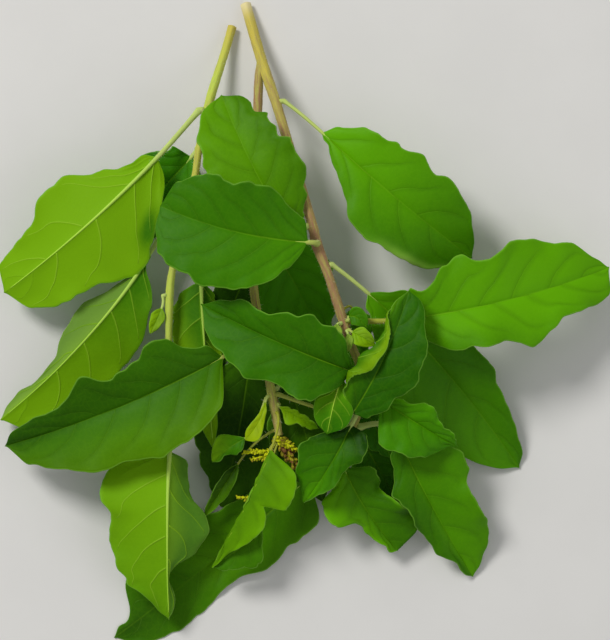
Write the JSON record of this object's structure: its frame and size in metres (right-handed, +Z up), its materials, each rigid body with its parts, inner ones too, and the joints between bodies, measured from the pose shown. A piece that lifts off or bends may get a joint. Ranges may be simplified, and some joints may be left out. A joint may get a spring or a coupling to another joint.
{
  "type": "basil sprig",
  "caption": "Cut sprig of holy basil lying flat: a forked brown stem and a pale side stem with toothed oval leaves, young axil leaves and small flower spikes.",
  "frame": {"origin": "on the table, under the middle of the sprig's outline", "axes": "+Y runs back up the stems to their cut ends, +Z is up from the table, +X runs across the sprig to the right seen from above with the cut ends away"},
  "size_m": [0.1367, 0.1433, 0.031],
  "materials": {
    "leaf_top": "deep green leaf upper side, softly glossy",
    "leaf_underside": "bright yellow-green leaf underside, matt, with pale raised veins",
    "leaf_young": "fresh yellow-green young leaf",
    "stem_tan": "finely hairy stem, ochre turning mauve-brown",
    "stem_pale": "finely hairy pale yellow-green stem",
    "flower_buds": "brown and yellow flower buds"
  },
  "bodies": {
    "root": {"flower_spike_end": "flower_buds", "flower_spike_left": "flower_buds", "leaf_bottom_back": "leaf_top", "leaf_bottom_bright": "leaf_top", "leaf_bottom_long": "leaf_top", "leaf_bottom_middle": "leaf_top", "leaf_bottom_right": "leaf_top", "leaf_bottom_shade": "leaf_top", "leaf_left_back": "leaf_top", "leaf_left_end": "leaf_underside", "leaf_left_folded": "leaf_underside", "leaf_left_front": "leaf_top", "leaf_left_inner": "leaf_underside", "leaf_left_upper": "leaf_underside", "leaf_middle_back": "leaf_top", "leaf_middle_front": "leaf_top", "leaf_right_curled": "leaf_top", "leaf_right_end": "leaf_top", "leaf_right_inner": "leaf_top", "leaf_right_long": "leaf_top", "leaf_right_low": "leaf_top", "leaf_right_top": "leaf_top", "leaf_top_back": "leaf_top", "leaf_top_front": "leaf_top", "leaflet_axil_left": "leaf_young", "leaflet_axil_low": "leaf_young", "leaflet_axil_right": "leaf_young", "leaflet_left_outer": "leaf_young", "leaflet_low_left": "leaf_young", "leaflet_low_right": "leaf_young", "leaflet_middle": "leaf_underside", "leaflet_narrow": "leaf_young", "stem_forked": "stem_tan", "stem_left": "stem_pale"}
  },
  "joints": []
}
